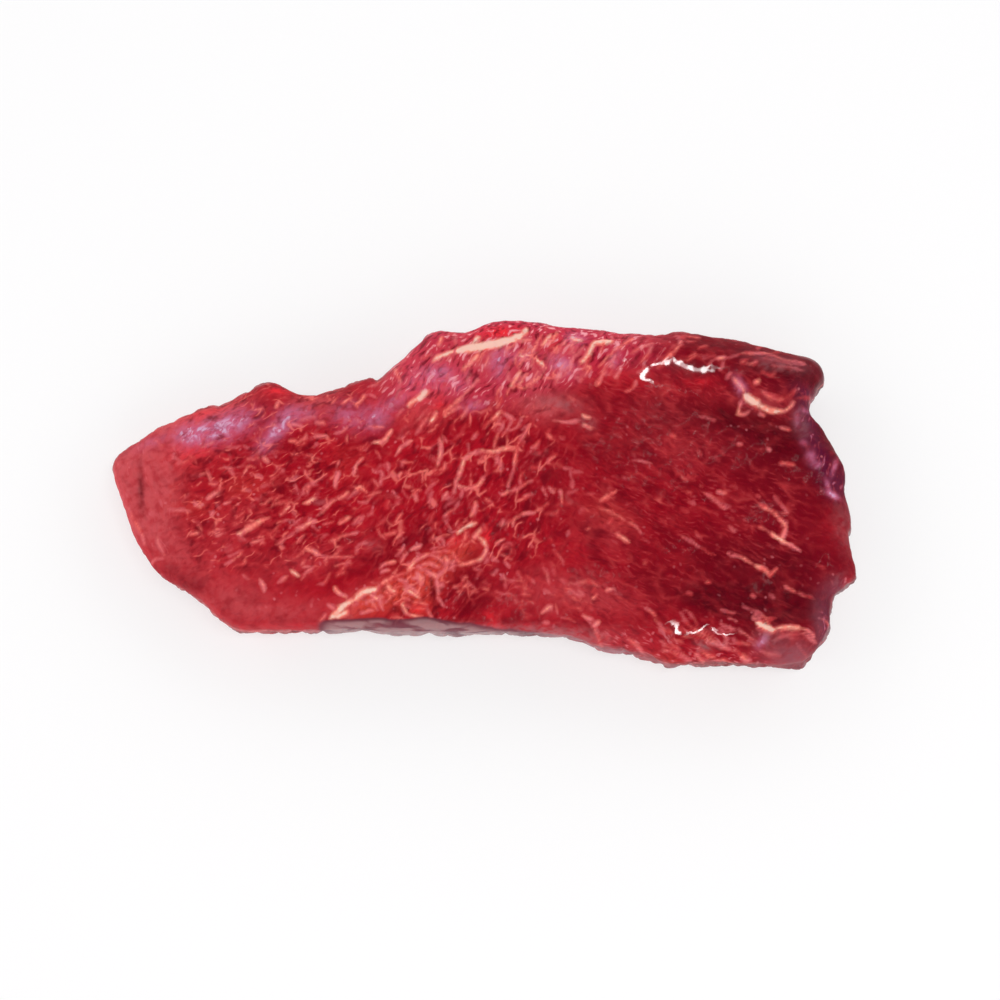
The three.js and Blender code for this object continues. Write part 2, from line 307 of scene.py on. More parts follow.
# Marbling. A vein is a stroke on the cut face: from x, y to x, y, its width in the middle, its tone, from 0
# (red, thin) through 0.5 (salmon) to 1 (cream), and how far it bows to its left, if it does.
veins = [
    # tip
    (-129, 8, -125, -4, 1.8, 0.22), (-123.5, -7, -117, -20, 1.6, 0.4, 0.4),
    (-113, -17, -109.5, -24, 1.2, 0.42, -0.4), (-115, 18, -111, 15, 1.2, 0.36),
    (-110, -7, -101, -8.2, 1.1, 0.42, 0.3), (-90, 3, -91, -1.5, 1.4, 0.55),
    (-91, -1.5, -96, -4, 1.3, 0.55, -0.5), (-100, -5.5, -97.5, -6.5, 1.4, 0.55),
    (-101.5, -16.8, -98, -16, 1.2, 0.5), (-99, -13, -97, -15.5, 1, 0.4), (-95, -16, -91, -15.5, 1, 0.45),
    (-94, -10.5, -93, -8.5, 1.2, 0.45), (-96, 6.5, -94, 2, 1.2, 0.45, 0.3), (-99, 4, -96, 5, 1, 0.35),
    (-88, -24.5, -83, -23, 1, 0.35), (-108, 12, -105, 9, 1.1, 0.35), (-102, 12, -100, 9, 1, 0.35),
    (-88, 6.5, -86, 4.5, 1.3, 0.4),
    # left
    (-85, -17.6, -72.8, -11.4, 2.1, 0.66, 0.6), (-80, -20, -75, -18.8, 1.1, 0.45),
    (-69.4, -10.6, -65.8, -7, 1.8, 0.58, 0.4), (-61.8, -6.4, -57.4, -5.2, 1.7, 0.62, 0.2),
    (-60.5, -2.6, -56.8, 1.6, 1.1, 0.48, 0.6), (-64.2, -15.9, -56.6, -12.6, 1.7, 0.56, 0.5),
    (-71.5, -20.7, -64, -16, 0.9, 0.38, -0.4), (-57, -11.2, -49, -4.6, 1.2, 0.48, 0.8),
    (-49.4, -4.8, -46, -2.9, 2.1, 0.6), (-55, -14, -51.3, -12.7, 1.2, 0.42),
    (-49.2, -13.8, -45.5, -11.2, 1.5, 0.52), (-43, -13.6, -40.4, -11, 1, 0.38),
    (-53, -20.9, -42, -16.4, 1.2, 0.42, 0.8), (-61, -21.6, -55.4, -24.4, 1.6, 0.5, 0.2),
    (-55.4, -24.2, -44, -25, 1.1, 0.46, -0.5), (-62, -28.2, -60.4, -25.8, 1, 0.42),
    (-66.2, -29.1, -62.6, -31.6, 1.5, 0.72), (-76.6, -32.4, -75, -37.6, 1.3, 0.58, 0.5),
    (-82, -31, -79.8, -33.2, 0.9, 0.35), (-50.6, -1.2, -49.4, 4.6, 1.9, 0.55, 0.3),
    (-44.8, 2.9, -40.6, 9.8, 1.5, 0.55, 0.7), (-44, -1.6, -39.2, -3, 1.5, 0.5, 0.9),
    (-58.6, 17.8, -53.4, 17.8, 1.4, 0.52, 0.2), (-57.6, 22.3, -54, 22.5, 1.2, 0.45),
    (-67, 21.6, -62.4, 21, 1.3, 0.5, 0.2), (-67, 16, -64.4, 16.4, 1.4, 0.5),
    (-76.4, 10.6, -74.4, 9, 1.6, 0.5), (-78.6, 3.8, -76.4, 3.4, 1.4, 0.4),
    (-83.2, -1, -80.4, -1.4, 1.5, 0.4), (-71.2, 6.4, -68.8, 6, 1.3, 0.36), (-72, 27.8, -71, 30.2, 1.4, 0.5),
    (-78.2, 27, -76.9, 28.2, 1.5, 0.45), (-60.6, 32.2, -58.8, 31, 2, 0.45),
    (-48.4, 29.2, -45.4, 31.6, 1.2, 0.5, 0.3), (-44.4, 28.4, -40.2, 32.4, 1.6, 0.55, -0.5),
    (-61, 10.8, -59, 10.4, 1.1, 0.34),
    # seam
    (-52.4, -47, -43.6, -40.4, 2.8, 0.86, 0.5), (-44.4, -41.2, -36, -36.2, 3, 0.78, 0.5),
    (-50, -45.8, -45.6, -44.8, 2.6, 0.84), (-51, -35.4, -46.4, -39.8, 1.7, 0.68, -0.5),
    (-55.6, -47.6, -53.8, -44.8, 1.2, 0.42), (-52.6, -42, -50.4, -43.6, 1.2, 0.42),
    (-36, -36.3, -25.5, -31.2, 1.5, 0.5, 0.5), (-25.4, -30.6, -17.4, -24.8, 1.5, 0.66, 1),
    (-17.6, -25, -10.8, -23.4, 1.1, 0.46, 0.4), (-18.4, -25.4, -12.8, -28.6, 1.3, 0.42, 1.2),
    (-12.8, -28, -16.2, -33.2, 1.3, 0.42, 1), (-26.9, -41.2, -24.8, -45.6, 1.4, 0.68, -0.5),
    (-25, -45.4, -20, -46.2, 1.3, 0.55, -0.6), (-26.8, -35.8, -20.4, -38.6, 1.4, 0.46, 0.7),
    (-22.2, -30.8, -20.2, -35.4, 2.4, 0.44), (-8.4, -17.2, -1.4, -13.8, 1.7, 0.86, 0.4),
    (-2.8, -19.2, 0.2, -15, 1.5, 0.68, -0.3), (-1, -18.4, 2.2, -22.2, 1.6, 0.68, 0.6),
    (2.2, -21.8, -1.8, -27, 1.8, 0.62, 0.8), (-1.6, -26.8, -7.6, -28.2, 1.7, 0.5, 0.7),
    (-10.2, -23.4, -6.4, -28, 1.2, 0.42, -0.8), (-18.2, -19.6, -12.4, -19.6, 1, 0.46, 0.9),
    (-13, -19.2, -13, -22.4, 0.9, 0.42, 0.3), (-24.2, -23.6, -20.8, -20.8, 1.5, 0.5),
    (-27.8, -27.6, -25, -24.4, 1, 0.42), (-35.4, -29.6, -29.2, -27.2, 1.5, 0.5, 0.3),
    (-33.6, -17.4, -29.4, -17, 1.5, 0.5), (-33, -8.8, -32, -5.8, 1.5, 0.34),
    (-40, -42, -33, -39, 1.5, 0.5, 0.4), (-33, -41.5, -29, -38, 1.1, 0.45, 0.3),
    (-27.4, -36.8, -21.2, -39.6, 1.9, 0.6, 0.5), (-20.2, -28.8, -14.4, -29.2, 1.3, 0.5, 0.7),
    (-18.8, -30.2, -14.6, -33, 1.6, 0.5, -0.4), (-12.9, -25, -12.3, -28.8, 1.5, 0.52, 0.4),
    (-15.6, -33.4, -14.6, -38.8, 1.4, 0.5, 0.4), (-14.8, -39, -12.4, -42.8, 1.1, 0.42),
    (-24.2, -41.4, -18.4, -42, 1, 0.42, 0.4), (-23.2, -43.6, -18.4, -44.2, 1, 0.4, 0.4),
    (-18.6, -44.8, -17.2, -47, 1.3, 0.5), (-31.8, -35.2, -29.4, -37.6, 1.6, 0.6, -0.7),
    (-32.8, -37, -31, -40, 1.3, 0.48, 0.3), (-34.8, -38.4, -33.8, -44, 1.2, 0.46, -0.4),
    (-37.8, -41.2, -35.8, -44, 1.4, 0.5), (-41, -44.4, -36.8, -44.2, 1.3, 0.5, 0.3),
    (-24.2, -33.4, -19.6, -32.6, 1.5, 0.52, 0.5), (-38.6, -38.4, -35.4, -40.6, 1.6, 0.6),
    (-28.8, -33, -25.4, -34.4, 1.3, 0.46), (-17.4, -23.2, -12.6, -22.2, 1, 0.4, 0.4),
    (-11.8, -21.6, -8.6, -18, 1, 0.42, 0.2), (-6.4, -20.4, -4.6, -16.4, 1.1, 0.46),
    (-10.4, -26.8, -9.6, -30.4, 1, 0.36),
    # middle
    (-23.6, -2.6, -21, -2.4, 1.1, 0.5, 0.2), (-22.8, -2.8, -22.4, -6.2, 1.5, 0.5),
    (-13.4, -5.2, -11.8, -2.4, 1.6, 0.52), (-12.6, -12.2, -9.4, -8.8, 1.1, 0.42, 0.3),
    (-12.2, -12.8, -10.4, -16.2, 0.9, 0.42), (-2, -5.6, -3.6, -11, 1.4, 0.55, 0.5),
    (-4.6, -12, -8.2, -14.8, 1.1, 0.46), (1.4, -4.8, 3.6, -6.6, 1.2, 0.45),
    (-38.2, 15, -34.2, 15, 1.5, 0.7), (-35, 14.8, -31.4, 19.8, 1.9, 0.74, -0.5),
    (-29.6, 9.6, -24.4, 15.2, 1.4, 0.52, 0.9), (-29.2, 2.2, -27.8, 4.4, 1.4, 0.5),
    (-26.2, 4.4, -24.8, 3.8, 1.2, 0.42), (-18.4, 2.6, -15.4, 6, 1, 0.42),
    (-15.6, 5.6, -14.6, 16.2, 1.6, 0.6, -1.1), (-17.6, 21.6, -15.4, 26.2, 1.9, 0.62, 0.3),
    (-15.6, 24.6, -5.6, 32.8, 1.3, 0.6, -0.8), (-13.2, 24, -7.4, 28.2, 1.2, 0.6, 0.3),
    (-5.8, 32.6, -1, 38.2, 1.3, 0.52), (-23.2, 17, -18.2, 25.8, 1.5, 0.36, -0.4),
    (-25.8, 27.8, -20.4, 32, 2.2, 0.72, 0.3), (-22.4, 30.6, -18.8, 33.8, 3, 0.9),
    (3.4, 22.6, 6.8, 26.2, 1.7, 0.6, 0.2), (6.4, 26, 11.2, 22.8, 1.4, 0.48),
    (-1.6, 11.2, 12.6, 12.2, 1.7, 0.66, 0.5), (-4.2, 9.8, -1, 11.4, 1.4, 0.6),
    (-8.2, 2.8, -4, 10.2, 1.7, 0.64, 0.6), (-9, -0.4, -7.6, 4, 1.5, 0.58),
    (-8.6, 0, -2.4, -1.6, 1.5, 0.55, -0.6), (-2.6, -1.6, 0.6, 2.6, 1.4, 0.6), (-10, -3, -8.6, 0, 1.1, 0.45),
    (4.4, 12.6, 6.2, 18.4, 1.1, 0.5, 0.3), (3, 11, 7.4, 5.6, 0.9, 0.38, 0.3),
    (12.4, 12, 16, 19.4, 1.1, 0.46, 0.4), (12.6, 12.4, 11.4, 6, 1.4, 0.5),
    (11.4, 6, 8.8, -1.6, 1.2, 0.46, -0.3), (9.6, -2.4, 7.2, -3.6, 1.5, 0.5),
    (9.2, -3, 18.2, 2.2, 1.2, 0.4, -0.5), (-4.4, 15, -4, 10, 0.9, 0.38),
    (-3.2, 15.8, -1.4, 18.8, 1.3, 0.42), (1, 19.6, 2.6, 23, 1.2, 0.4), (6, 18, 7.6, 22.6, 1, 0.4),
    (10.4, -15.2, 13.6, -10.8, 1.1, 0.46, 0.9), (13.4, -10.8, 19.2, -9.4, 1.3, 0.5, 0.3),
    (14.6, -4.8, 18.2, -3.4, 1.2, 0.42, 0.3), (19, -9, 23.4, -6.4, 1.1, 0.4),
    (5.2, -20.8, 8.2, -19, 1.5, 0.5), (6.4, -14.4, 7.4, -12.8, 1.4, 0.4),
    (22.6, 7.6, 26.2, 10.8, 1.3, 0.45, 0.2), (18, 13, 20.2, 16, 1.2, 0.42), (23, 18, 24.6, 17, 1.4, 0.45),
    (23.6, -0.6, 25.2, -2.4, 1.4, 0.5), (27.6, -1.6, 27.8, -6.4, 1.3, 0.5, 0.4),
    (20, -44.8, 24.4, -42.8, 1.5, 0.55, 0.3),
    # back
    (-17.4, 43.8, -8.8, 48, 2.2, 0.82, 0.5), (-9.4, 47.8, 4.4, 50.2, 3.8, 0.94),
    (1, 49.8, 10.6, 52.2, 4.6, 0.96, -0.4), (9, 51.4, 13.8, 53.6, 4, 0.84, -0.3),
    (12.6, 52.8, 16.4, 57, 2.6, 0.7, -0.3), (11, 51.6, 17.4, 52.4, 1.6, 0.6),
    (-2.6, 50.8, -1, 53.2, 2, 0.95), (-7.4, 41.2, -1, 47, 2.1, 0.6, -0.4), (0.8, 42.6, 3, 46.8, 1.4, 0.48),
    (-30.4, 42.6, -28.6, 36.4, 1.3, 0.55), (-22, 45, -16.6, 46.6, 1.2, 0.42, 0.3),
    (-15.2, 49.8, -13.4, 53.8, 1.9, 0.58), (8.8, 31.8, 10.6, 35.6, 1.1, 0.5),
    (9.8, 35, 13.4, 41.4, 1.5, 0.72), (10, 35.8, 14.6, 34.6, 1.1, 0.6), (15, 47, 21.4, 54.6, 1, 0.55, -0.4),
    (20.8, 49.6, 24.4, 54.8, 1.4, 0.78), (23.8, 44.2, 30.4, 53.4, 1.2, 0.58, -0.3),
    (27.4, 46.6, 31, 50.8, 1, 0.5), (13, 46.4, 18, 46.8, 1.6, 0.76), (17.8, 45.6, 22.6, 42, 1.7, 0.8, 0.3),
    (34.6, 43.6, 39.6, 51.2, 2.5, 0.76, -0.5), (38.8, 50.4, 46.4, 51.6, 2.7, 0.84, 0.3),
    (41.2, 42.2, 50.4, 50.2, 1.3, 0.6, 0.7), (45, 41.8, 47.2, 46.2, 1.2, 0.55),
    (49, 50, 53.4, 53.4, 1.3, 0.5), (51.8, 46.6, 60.4, 51, 1.2, 0.46, 0.4), (31.6, 53.4, 35, 52, 3, 0.8),
    (21.8, 38, 24.2, 38.4, 1.2, 0.5), (33.8, 36.8, 35.2, 38.4, 1.3, 0.42),
    (24.2, 23, 34.6, 22.8, 1.1, 0.52, -0.3), (35, 25.2, 38.2, 24, 1.3, 0.72),
    (35.6, 21.8, 38.8, 20, 1.2, 0.64), (66.4, 45.6, 70.4, 52, 1.3, 0.48, 0.3),
    (63.4, 43.6, 67.6, 48, 1.2, 0.46), (82, 44.8, 85.2, 44.8, 1.6, 0.6),
    (91, 46.6, 103.2, 46.4, 1.5, 0.44, 0.5), (100, 46.2, 114, 43.2, 1.9, 0.38, 0.3),
    (98, 44.4, 111, 43, 1.1, 0.3, 0.2), (101, 41.6, 113, 41.2, 1.3, 0.26, 0.2),
    # basin
    (41.6, -5.6, 47, -0.8, 1.4, 0.5, 0.4), (40.4, -7.4, 50, -12.2, 1.2, 0.42, 0.4),
    (43.6, -13.2, 45.4, -11, 1, 0.4), (50.8, -12.8, 55.4, -17.2, 1.1, 0.46, 0.4),
    (46.8, -17.2, 51.2, -19.8, 1.4, 0.62, 0.2), (33, -34.4, 41.2, -35, 0.9, 0.42, 0.5),
    (29, -36, 34.4, -39, 1, 0.42), (37.6, -40.2, 40, -38.2, 1.4, 0.5), (43, -37.2, 46.2, -36.6, 1.1, 0.66),
    (96.8, -6.4, 103.6, -10.8, 1.2, 0.52, 0.3), (103.4, -10.7, 106, -14.2, 1.5, 0.56, 0.3),
    (106, -13.8, 104.4, -18.2, 1.7, 0.6, 0.2), (100.8, -16.2, 105.6, -20, 2.6, 0.68),
    (104.6, -19.2, 110.4, -23.2, 1.6, 0.56, 0.2), (96, -14, 101, -16.8, 0.9, 0.42, 0.2),
    (84.8, -23.4, 94, -27.6, 1.3, 0.52, 0.3), (93.8, -27.4, 99.2, -32.2, 1.5, 0.58, 0.4),
    (98.8, -32.4, 102, -28.8, 1.4, 0.52), (77, -1.8, 85, -7.4, 1.2, 0.46, 0.4),
    (82.8, -1.4, 85.2, -1.8, 1.5, 0.6), (71.4, -1.4, 72.8, -2, 1.1, 0.42),
    (68, -16.6, 80.4, -24.4, 0.9, 0.36, 0.3), (86, -13, 88.4, -16, 0.9, 0.38),
    (104, -35.4, 108.4, -37.4, 1.1, 0.52), (108, -37.2, 115, -40.4, 0.9, 0.38, 0.2),
    (102, -3.6, 106.4, -9.2, 1.6, 0.34), (82, -44, 87.4, -45.2, 0.9, 0.38),
    (78, -33.6, 79, -34.4, 1.2, 0.5), (93, -38.8, 94.2, -39.4, 1.1, 0.42),
    (70.6, -37.6, 72.2, -38.2, 1.1, 0.42), (89.6, 15, 91, 14.6, 1.4, 0.46),
    (99.4, 13.2, 100.8, 12.6, 1.3, 0.42), (66, 18, 67.6, 18, 1.4, 0.4), (76, 24.6, 82.4, 23.8, 0.9, 0.34),
    (104, 8, 109, 7, 1.7, 0.38, 0.3), (52, 9.4, 60.6, 8, 0.9, 0.36, 0.4),
    # corners
    (87.6, 38.2, 92.4, 33, 1.9, 0.6), (92, 32.4, 96.6, 29.6, 3.4, 0.86),
    (95.6, 29.6, 106.4, 27.2, 2.6, 0.76, -0.6), (106, 27.2, 109.2, 29.8, 1.8, 0.62),
    (89.2, 26, 94.4, 27, 1.4, 0.58, -0.2), (90, 26, 91.2, 30.6, 1.6, 0.56),
    (96.8, 33.8, 106, 30.6, 1.2, 0.4, -0.8), (106, 30.6, 110.4, 34.2, 1, 0.3, -0.3),
    (110, 30.6, 120, 33.2, 0.9, 0.26, 0.4), (95.8, 35.8, 97, 36.6, 1.5, 0.6),
    (97.4, 26.2, 98.8, 25.6, 1.4, 0.5), (104.6, 21.4, 108.4, 20.4, 1.3, 0.46),
    (94.6, -48.8, 100.2, -51.8, 3.2, 0.84), (99.6, -51.2, 109.2, -51, 2, 0.66, 0.4),
    (109, -50.9, 114, -53.6, 1.3, 0.6, 0.4), (92.8, -46.8, 97, -49, 1.1, 0.52),
    (100, -54.8, 109, -53.2, 1.3, 0.34, 0.9), (88.6, -59.4, 92, -60.4, 1.4, 0.56),
    (72.8, -57.8, 77.2, -61.4, 1.2, 0.55, 0.2), (62, -57.4, 73, -60.6, 0.9, 0.42, 0.4),
    (50, -54, 57.4, -59.2, 1, 0.46, 0.4), (35.2, -45.4, 38, -47.2, 1.5, 0.58),
    (38, -49.8, 40.4, -48, 1.6, 0.6), (36.8, -47.4, 41.8, -58, 1, 0.42, 0.8),
    (80, -60.6, 88, -63, 1, 0.4, 0.3), (95, -57.6, 103, -59.8, 1, 0.4),
]

# Flecks sown between them: how many, middle and half-size of the patch, heading and its spread in degrees,
# then the least and most length, width and tone
fleckPatches = [
    (74, (-80, -4), (28, 28), 28, 22, (2.4, 6.5), (0.5, 0.9), (0.12, 0.52)),
    (36, (-80, -4), (26, 26), -48, 16, (1.6, 3.6), (0.5, 0.8), (0.12, 0.46)),
    (54, (-45, -2), (26, 28), 42, 20, (2.6, 7), (0.5, 0.9), (0.12, 0.52)),
    (30, (-28, 2), (34, 28), -40, 18, (1.8, 4.2), (0.5, 0.8), (0.12, 0.46)),
    (62, (-10, 14), (28, 32), 57, 18, (2.6, 7), (0.5, 0.9), (0.12, 0.52)),
    (25, (-20, -30), (34, 14), 30, 30, (1.6, 4.5), (0.8, 1.3), (0.3, 0.48)),
    (80, (22, 45), (36, 9), 54, 12, (3, 8), (0.8, 1.5), (0.2, 0.66)),
    (25, (28, -8), (22, 30), 20, 45, (1.5, 4), (0.7, 1), (0.25, 0.4)),
    (40, (14, -38), (26, 9), -34, 25, (2.5, 6.5), (0.5, 0.8), (0.26, 0.42)),
    (40, (80, -6), (42, 26), -30, 14, (1.5, 4), (0.5, 0.8), (0.18, 0.32)),
    (50, (80, -54), (40, 8), -30, 12, (3, 9), (0.6, 1), (0.3, 0.5)),
    (30, (80, 46), (40, 8), 12, 20, (2, 6), (0.6, 1.2), (0.25, 0.42)),
]


def sowFlecks():
    # strokes at random places in each patch (denser in its middle), at random lengths and headings
    rng = np.random.default_rng(11)
    sown = []
    for count, middle, half, heading, spread, lengths, widths, tones in fleckPatches:
        place = np.array(middle) + np.array(half) * np.clip(rng.normal(0, 0.55, (count, 2)), -1.4, 1.4)
        angle = np.radians(heading + rng.normal(0, spread, count))
        run = rng.uniform(*lengths, count)
        step = np.stack([np.cos(angle), np.sin(angle)], 1) * run[:, None] / 2
        bow = rng.normal(0, 0.1, count) * run
        width, tone = rng.uniform(*widths, count), rng.uniform(*tones, count)
        sown.append(np.column_stack([place - step, place + step, width, tone, bow]))
    return np.vstack(sown)


def layStrokes(x, y, strokes, reach=2.0):
    # depth into the nearest stroke, max(halfWidth(t) - distance to point(t)), and that stroke's tone, where
    # point(t) = start + t (end - start) + 4 t (1 - t) bow sideways,
    # halfWidth(t) = 0.62 width sqrt(1 - (2t - 1)^4) / 2 - 0.3 (2t - 1)^6, so both ends fade
    depth, tone = np.full(x.shape, -reach), np.zeros(x.shape)
    t = np.linspace(0, 1, 17)
    taper = np.sqrt(1 - (2 * t - 1) ** 4) / 2
    fade = 0.3 * (2 * t - 1) ** 6
    for x0, y0, x1, y1, width, shade, bow in strokes:
        long = math.hypot(x1 - x0, y1 - y0)
        lineX = x0 + t * (x1 - x0) - 4 * t * (1 - t) * bow * (y1 - y0) / long
        lineY = y0 + t * (y1 - y0) + 4 * t * (1 - t) * bow * (x1 - x0) / long
        margin = reach + width
        near = (x > lineX.min() - margin) & (x < lineX.max() + margin)
        near &= (y > lineY.min() - margin) & (y < lineY.max() + margin)
        spot = np.flatnonzero(near)
        if not len(spot):
            continue
        away = np.hypot(x[spot, None] - lineX, y[spot, None] - lineY)
        inside = (0.62 * width * taper - fade - away).max(1)
        better = inside > depth[spot]
        depth[spot[better]] = inside[better]
        tone[spot[better]] = shade
    return depth, tone


# Soft patches of colour on the cut face: x, y, half-length, half-width, strength, and turn in degrees if any
patches = {
    # dark: darker muscle, and painted shade in grooves and furrows, beside the rolls, along the rims and at
    # the band's upper edge
    "dark": [
        (100, 20, 22, 6, 0.9, -8), (80, 26, 14, 5, 0.5, -5), (58, 20, 12, 6, 0.3), (95, -42, 20, 6, 0.9),
        (60, -33, 12, 5, 0.35, -15), (85, -30, 25, 12, 0.45, -10), (108, -27, 8, 6, 0.5),
        (100, 2, 14, 10, 0.35, -20), (-27, -22, 12, 5, 0.55, 32), (-4, -33, 10, 7, 0.6, 20),
        (-3, -43, 9, 4, 0.5, 15), (-8, -5, 6, 4, 0.2, 35), (-72, 13, 10, 3, 0.4), (118, 37, 6, 6, 0.8),
        (116, 24, 4, 8, 1), (118, -48, 3, 8, 0.6), (126, 3, 4, 6, 0.7), (-104, -33, 10, 3, 0.6, -30),
        (-119, 0, 1.1, 8, 0.75, 3), (45, 12, 20, 14, 0.3), (100, 40, 14, 4, 0.5, -10),
        (-65, 0, 12, 8, 0.25, 30), (116, 14, 4, 16, 0.9, 8), (124, 4, 4, 9, 0.9), (120, -8, 10, 26, 0.2),
        (92, -41, 24, 4.5, 0.8, -4), (60, 26, 40, 8, 0.1, -6), (111, 36, 9, 6, 0.6), (117, -52, 4, 9, 0.7),
        (84, 53, 16, 4, 0.7, -8), (100, 47, 16, 4, 0.5, -10), (104, -44, 12, 5, 0.4), (108, 13, 12, 6, 0.8),
        (82, 45, 16, 6, 0.3, -8), (118, 38, 7, 9, 0.8), (-16.8, -36.5, 0.9, 3.6, 0.9, 8),
        (-15.8, -44, 1.2, 4, 0.7), (-29.4, -43.8, 2.4, 1.6, 0.7), (104, -55, 10, 5, 0.45, -6),
        (74, 41, 22, 4, 0.4, -6), (90, -52, 7, 4, 0.4), (96, -42, 24, 8, 0.4), (90, -26, 20, 8, 0.4, -10),
        (-8, -47.6, 40, 1.1, 0.45), (110, 44, 14, 4, 0.55, -10), (72, 50, 12, 4, 0.35, -5),
        (21, 0, 9, 9, 0.3),
    ],
    "pink": [
        (-112, -2, 16, 7, 0.75, 95), (-125, 4, 10, 5, 0.5, 105), (-106, -24, 12, 7, 0.6, -40),
        (-86, -40, 16, 8, 0.6, -12), (-64, -44, 16, 5, 0.5), (-100, 26, 22, 3, 0.6, 17),
        (106, -60, 11, 4, 0.4), (-86, -18, 12, 16, 0.25), (48, -55, 14, 4, 0.2, -15), (-58, 32, 6, 2, 0.5),
        (-25, 38, 16, 9, 0.25, 30), (0, 44, 14, 5, 0.25, 5), (3, 51, 15, 3.4, 0.6, 10),
        (28, 46, 12, 8, 0.15, 30), (-122, 12, 8, 4, 0.4, 40), (-119, 2, 12, 13, 0.6),
        (-102, 20, 14, 10, 0.45), (-20, 40, 14, 7, 0.2, 20), (18, 39, 16, 8, 0.25),
        (54, 54, 10, 4, 0.5, -5), (38, -39, 16, 6, 0.45, -10), (-60, -27, 14, 5, 0.35, 10),
        (22, 28, 10, 5, 0.7), (97, 29, 8, 2.6, 0.6, -12), (102, -52, 8, 2.2, 0.5, -3), (62, 27, 12, 8, 0.2),
        (44, -14, 10, 8, 0.25, -20), (-100, 28, 11, 5, 0.9, 20), (-104, 13, 8, 6, 0.45),
        (72, 12, 16, 8, 0.15), (-20, 27, 10, 7, 0.55, 30), (20, -38, 14, 8, 0.25), (-60, 28, 10, 5, 0.6),
        (20, 28, 12, 6, 0.3), (-6, 36, 16, 6, 0.2, 10), (-121, -2, 9, 18, 0.5, 12),
        (-42, -41, 8, 4, 0.7, 30), (-120, -13, 8, 8, 0.4),
    ],
    "orange": [
        (-38, -41, 9, 4, 0.95, 25), (-29, -38, 9, 4.5, 0.9, 25), (-20, -34, 7, 6, 0.95, 30),
        (-14, -28, 6, 4, 0.8, 30), (-7, -24, 7, 4, 0.6, 30), (-22, -43, 5, 3, 0.8),
        (-100, -7, 8, 3, 0.3, -5), (-82, 0, 8, 4, 0.35), (60, -62, 9, 3, 0.5), (45, -10, 8, 4, 0.3, -25),
        (-48, 8, 5, 8, 0.15),
    ],
    # lilac silverskin film, with a painted sheen on it: slopes facing back and curls along the broad end's
    # rim
    "lilacFilmAndSheen": [
        (-95, 20, 9, 4, 0.95, 12), (-87, 23, 8, 4.5, 0.7, 20), (-103, 20, 5, 3.4, 0.6, 10),
        (-73, 18.5, 6.5, 2.8, 0.85, 52), (-69, 23, 4, 3, 0.6, 45), (-47, 25, 5, 5, 0.45),
        (-37, 24, 5, 4, 0.65, 30), (-63, 26, 6, 3, 0.4), (-14, 40, 4, 3, 0.5), (-3, 28, 4, 2, 0.5, 10),
        (6, 44, 3, 5, 0.6), (28, 43, 3, 4.5, 0.7, 60), (33, 53, 3, 2.4, 0.7), (-20, 38, 8, 5, 0.35, 20),
        (-30, 30, 4, 3, 0.4, 30), (90.6, 35, 1.6, 3.4, 0.7, 30), (-116, 17, 6, 2, 0.3, 20),
        (12, 46, 5, 2, 0.4), (-8, 36, 5, 3, 0.3, 30), (47, 45, 2, 3, 0.4), (114.8, 10.3, 1.6, 2.2, 0.6),
        (116.8, 7.3, 1.5, 1, 0.6, 20), (123, 7, 0.8, 3, 0.6, -20), (120.5, 0, 0.8, 2.4, 0.6, 15),
        (122.2, -2.9, 2.4, 0.9, 1, -25), (110.8, 24, 1, 2.4, 0.5), (113.4, 27.2, 1.4, 0.9, 0.5),
        (112.4, 15.5, 1.2, 1, 0.6), (96, -55, 1.4, 2.4, 0.7, -35),
    ],
    "grey": [
        (-8, -51.5, 36, 2.4, 0.8), (-40, -51, 16, 2.2, 0.75), (28, -52.5, 14, 2.2, 0.5, -6),
        (126, -14, 4, 9, 0.25, 10), (124, -33, 4, 2.5, 0.3), (112, 23, 2.5, 5, 0.5, 10),
        (-110, -33, 8, 1.5, 0.3, -40), (27, 29, 8, 3, 0.4, -5), (103, 41.5, 8, 2, 0.4, -5),
        (37, 22.5, 3, 2.5, 0.4, -20), (-38, -21, 3, 2, 0.3), (98, -54, 4, 3, 0.5),
    ],
    "mauve": [
        (107, -60, 9, 5, 1, -10), (116, -47, 3, 8, 0.5), (104, 44.4, 11, 2.2, 0.55, -10),
        (121, -36, 4, 3, 0.4, 20), (112, 22, 2.5, 6, 0.4, 10), (60, -63, 10, 2, 0.3, -6),
    ],
    "crimson": [
        (6, 55, 8, 2.6, 1, 6), (-72, 34.5, 4, 1.6, 0.8), (127, -34, 3, 2, 0.3), (27, 51, 4, 5, 0.5, 55),
        (4, -47.5, 4, 2, 0.7, -45), (2, -17.5, 2, 3, 0.9), (-32, -7.5, 2, 3, 0.4), (76, 37, 5, 1.5, 0.5),
        (-14, 28, 2.5, 3.5, 0.6), (-9, -19.5, 3.5, 2.5, 0.6, 30), (-22, -43.5, 3, 1.6, 0.7),
        (-101, 13, 9, 6, 0.55), (-98, 27, 9, 3, 0.5, 20), (-22, 34, 16, 8, 0.4, 30),
        (50, 40, 14, 5, 0.3, -5), (122, -13, 5, 8, 0.25),
    ],
    # dark purple at the broad end's rim: a membrane, and painted shade on the wall there
    "purpleMembraneAndShade": [
        (114, 22, 3.4, 9, 1, 10), (119, 8, 3.6, 7, 0.9, 10), (123, 0, 3, 5, 0.75),
        (118, -49, 3.4, 10, 0.85), (119, 31, 6, 4, 0.6), (128, 4, 3, 9, 0.6), (123, -36, 4, 4, 0.6),
        (113, 34, 6, 2, 0.4, -10),
    ],
    "wet": [
        (55, 42, 6, 4, 1, -35), (70, 41, 11, 4, 1), (65.4, -51.5, 2.8, 3, 1), (78, -53, 7, 4, 1, -6),
    ],
}



def sumPatches(name, x, y):
    return np.clip(sum(blob(x, y, spot) for spot in patches[name]), 0, 1)


